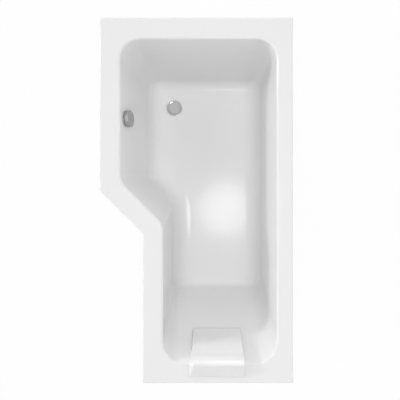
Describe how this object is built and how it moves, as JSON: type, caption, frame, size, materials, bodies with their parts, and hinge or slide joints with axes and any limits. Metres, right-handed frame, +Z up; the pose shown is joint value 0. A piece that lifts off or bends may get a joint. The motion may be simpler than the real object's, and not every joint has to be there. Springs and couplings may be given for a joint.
{
  "type": "shower bath",
  "caption": "P-shaped acrylic shower bath with a wide standing end, stepped open side, sloping backrest with headrest, pop-up waste, overflow knob, trap and levelling legs.",
  "frame": {"origin": "on the floor, under the middle of the rim's 1700 by 900 mm rectangle, with the legs as supplied", "axes": "+Z up; +Y along the bath towards the wide end, where the waste is; +X towards the straight side that stands against the wall"},
  "size_m": [0.9, 1.7, 0.5978],
  "materials": {
    "acrylic": "high-gloss white cast acrylic, glass-fibre resin backing below",
    "chipboard": "raw chipboard under a thin coat of resin",
    "batten_wood": "sawn softwood",
    "zinc_steel": "bright zinc plated",
    "foot_plastic": "moulded black, satin",
    "chrome": "polished chrome plate",
    "black_rubber": "moulded rubber",
    "white_plastic": "moulded white polypropylene",
    "grey_plastic": "moulded grey acetal",
    "hose_plastic": "corrugated flexible pipe, satin",
    "cable_plastic": "extruded sheath, satin",
    "soft_white": "soft white polyurethane foam with a smooth skin",
    "clear_rubber": "translucent soft suction cup"
  },
  "bodies": {
    "bath": {"bath_shell": "acrylic", "base_board": "chipboard", "batten_straight": "batten_wood", "batten_wide_end": "batten_wood", "batten_open": "batten_wood", "batten_step": "batten_wood", "batten_narrow": "batten_wood", "batten_narrow_end": "batten_wood", "rail_wide": "zinc_steel", "rail_narrow": "zinc_steel", "rail_screws": "zinc_steel", "centre_plate": "zinc_steel", "nuts_lower": "zinc_steel", "nuts_upper": "zinc_steel", "wall_brackets": "zinc_steel", "bracket_screws": "zinc_steel", "waste_flange": "chrome", "waste_gasket_top": "black_rubber", "waste_gasket_bottom": "black_rubber", "waste_body": "white_plastic", "lever_pin": "zinc_steel", "trap_nut": "white_plastic", "trap_washer": "black_rubber", "trap": "white_plastic", "overflow_ring": "chrome", "overflow_gasket": "black_rubber", "overflow_housing": "white_plastic", "overflow_hose": "hose_plastic", "hose_nuts": "white_plastic", "control_cable": "cable_plastic"},
    "leg_wide_wall": {"rod_wide_wall": "zinc_steel", "foot_wide_wall": "foot_plastic"},
    "leg_wide_open": {"rod_wide_open": "zinc_steel", "foot_wide_open": "foot_plastic"},
    "leg_narrow_wall": {"rod_narrow_wall": "zinc_steel", "foot_narrow_wall": "foot_plastic"},
    "leg_narrow_open": {"rod_narrow_open": "zinc_steel", "foot_narrow_open": "foot_plastic"},
    "leg_centre": {"rod_centre": "zinc_steel", "foot_centre": "foot_plastic"},
    "knob": {"overflow_knob": "chrome", "knob_spindle": "zinc_steel", "cable_crank": "grey_plastic"},
    "lever": {"lift_lever": "grey_plastic"},
    "plug": {"waste_plug": "chrome", "plug_seal": "black_rubber"},
    "headrest": {"headrest_pad": "soft_white", "headrest_cups": "clear_rubber"}
  },
  "joints": [
    {"name": "leg_wide_wall_level", "type": "slide", "parent": "bath", "child": "leg_wide_wall", "axis": [0, 0, -1], "range_m": [-0.01, 0.025]},
    {"name": "leg_wide_open_level", "type": "slide", "parent": "bath", "child": "leg_wide_open", "axis": [0, 0, -1], "range_m": [-0.01, 0.025]},
    {"name": "leg_narrow_wall_level", "type": "slide", "parent": "bath", "child": "leg_narrow_wall", "axis": [0, 0, -1], "range_m": [-0.01, 0.025]},
    {"name": "leg_narrow_open_level", "type": "slide", "parent": "bath", "child": "leg_narrow_open", "axis": [0, 0, -1], "range_m": [-0.01, 0.025]},
    {"name": "leg_centre_level", "type": "slide", "parent": "bath", "child": "leg_centre", "axis": [0, 0, -1], "range_m": [-0.01, 0.025]},
    {"name": "knob_turn", "type": "hinge", "parent": "bath", "child": "knob", "pos_m": [-0.33714, 0.39, 0.5], "axis": [0.962, 0, 0.2729], "range_deg": [0, 90]},
    {"name": "lever_turn", "type": "hinge", "parent": "bath", "child": "lever", "pos_m": [-0.13935, 0.504, 0.1437], "axis": [0, -1, 0], "range_deg": [0, 32.7]},
    {"name": "plug_lift", "type": "slide", "parent": "bath", "child": "plug", "axis": [0, 0, 1], "range_m": [0, 0.009]},
    {"name": "headrest_lift", "type": "slide", "parent": "bath", "child": "headrest", "axis": [0, 0, 1], "range_m": [0, 0.08]}
  ],
  "couplings": [
    {"joint": "lever_turn", "follows": "knob_turn", "ratio": 0.363},
    {"joint": "plug_lift", "follows": "knob_turn", "m_per_rad": 0.005729}
  ]
}
